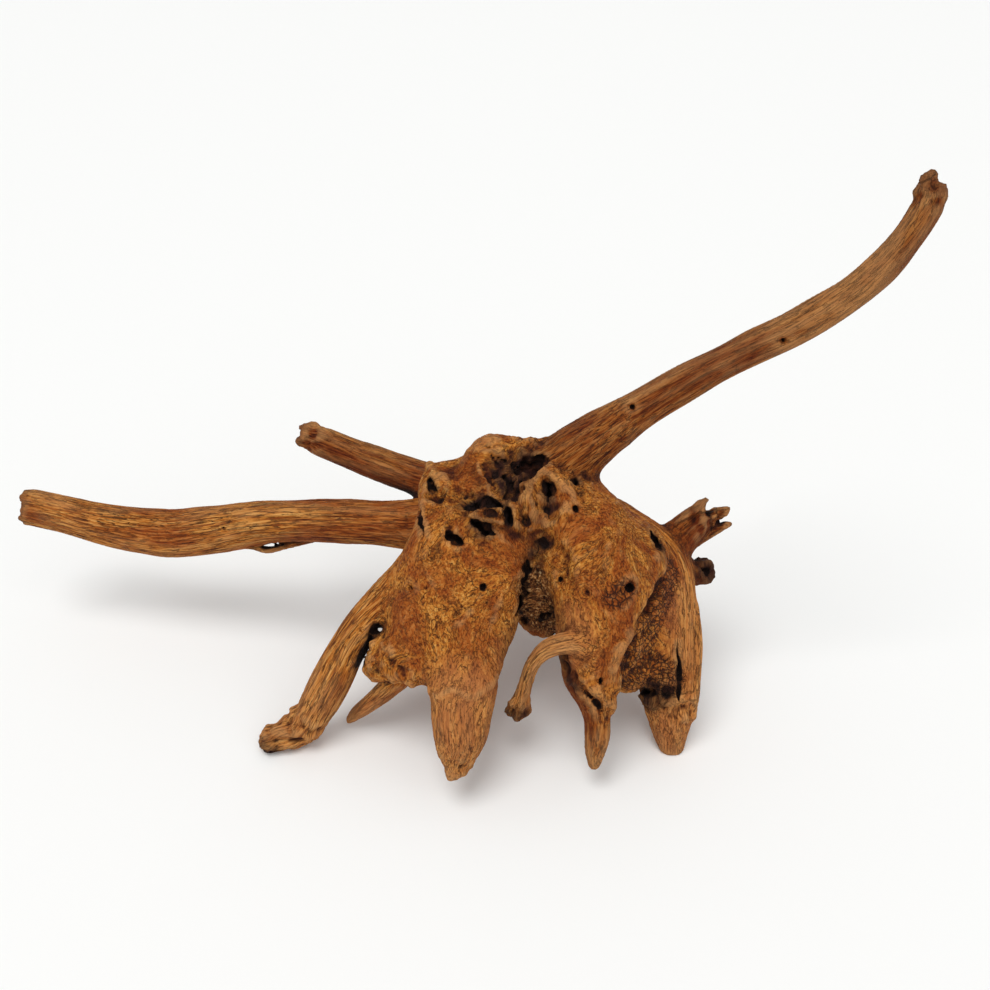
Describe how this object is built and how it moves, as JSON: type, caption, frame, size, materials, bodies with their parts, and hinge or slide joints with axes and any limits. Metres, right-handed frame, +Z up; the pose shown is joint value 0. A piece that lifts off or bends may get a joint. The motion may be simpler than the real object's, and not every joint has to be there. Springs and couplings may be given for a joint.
{
  "type": "dry root",
  "caption": "Dry reddish-brown root with a knotty hollow crown, long curved branches to both sides and a skirt of lobes tapering into rootlet feet it stands on.",
  "frame": {"origin": "centre of the bounding box at the surface that the feet stand on", "axes": "+X along the longest reach, from the left branches to the tip of the right branch; +Y away from the viewer; +Z up"},
  "size_m": [0.4265, 0.159, 0.2446],
  "materials": {
    "wood": "bare, dry and matte, with a fibrous grain along every limb and dark cracks and hollows"
  },
  "bodies": {
    "root": {"dry_root": "wood"}
  },
  "joints": []
}
